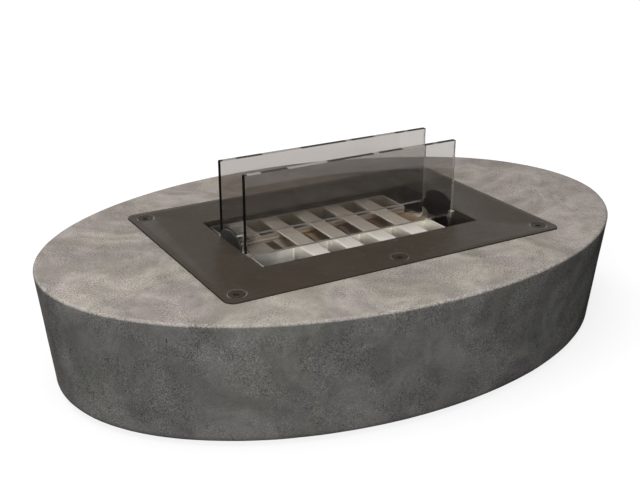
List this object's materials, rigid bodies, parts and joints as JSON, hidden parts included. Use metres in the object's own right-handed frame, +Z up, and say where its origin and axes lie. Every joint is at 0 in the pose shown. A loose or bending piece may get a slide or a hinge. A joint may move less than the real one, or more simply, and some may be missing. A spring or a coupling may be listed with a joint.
{
  "type": "tabletop fire pit",
  "caption": "Oval cast concrete tabletop fire pit with a steel cover plate, a long burner with a closing slide, and glass panes along the flame.",
  "frame": {"origin": "middle of the surface that the feet stand on", "axes": "+Z up, +X along the panes towards the slide's lug, +Y to the back"},
  "size_m": [0.603, 0.4039, 0.194],
  "materials": {
    "concrete": "cast concrete, fine grit and mottling",
    "cover_steel": "satin dark coating",
    "black_steel": "heat resistant black",
    "stainless": "brushed",
    "screw_steel": "black oxide",
    "brass": "turned",
    "glass": "clear, lightly tinted",
    "wool": "ceramic fibre",
    "rubber": "matt",
    "panel": "powder coated",
    "zinc": "zinc plated"
  },
  "bodies": {
    "pit": {"concrete_body": "concrete", "foot_inserts": "brass", "base_panel": "panel", "rubber_feet": "rubber", "foot_screws": "zinc", "cover_plate": "cover_steel", "cover_screws": "screw_steel", "cover_inserts": "brass", "burner_well": "black_steel", "front_rail": "black_steel", "rear_rail": "black_steel", "burner_frame": "stainless", "cross_bar_1": "stainless", "cross_bar_2": "stainless", "cross_bar_3": "stainless", "cross_bar_4": "stainless", "short_bar": "stainless", "fuel_tank": "stainless", "tank_cover": "stainless", "ceramic_wick": "wool", "front_slide_guide": "stainless", "rear_slide_guide": "stainless", "left_cheek": "black_steel", "right_cheek": "black_steel", "cheek_screws": "black_steel", "front_left_channel": "stainless", "front_right_channel": "stainless", "rear_left_channel": "stainless", "rear_right_channel": "stainless"},
    "slide": {"closing_slide": "stainless", "slide_lug": "stainless", "lug_rivet": "zinc"},
    "front_pane": {"front_glass": "glass"},
    "rear_pane": {"rear_glass": "glass"}
  },
  "joints": [
    {"name": "slide_travel", "type": "slide", "parent": "pit", "child": "slide", "axis": [1, 0, 0], "range_m": [-0.00925, 0.00925]},
    {"name": "front_pane_lift", "type": "slide", "parent": "pit", "child": "front_pane", "axis": [0, 0, 1], "range_m": [0, 0.09]},
    {"name": "rear_pane_lift", "type": "slide", "parent": "pit", "child": "rear_pane", "axis": [0, 0, 1], "range_m": [0, 0.09]}
  ]
}
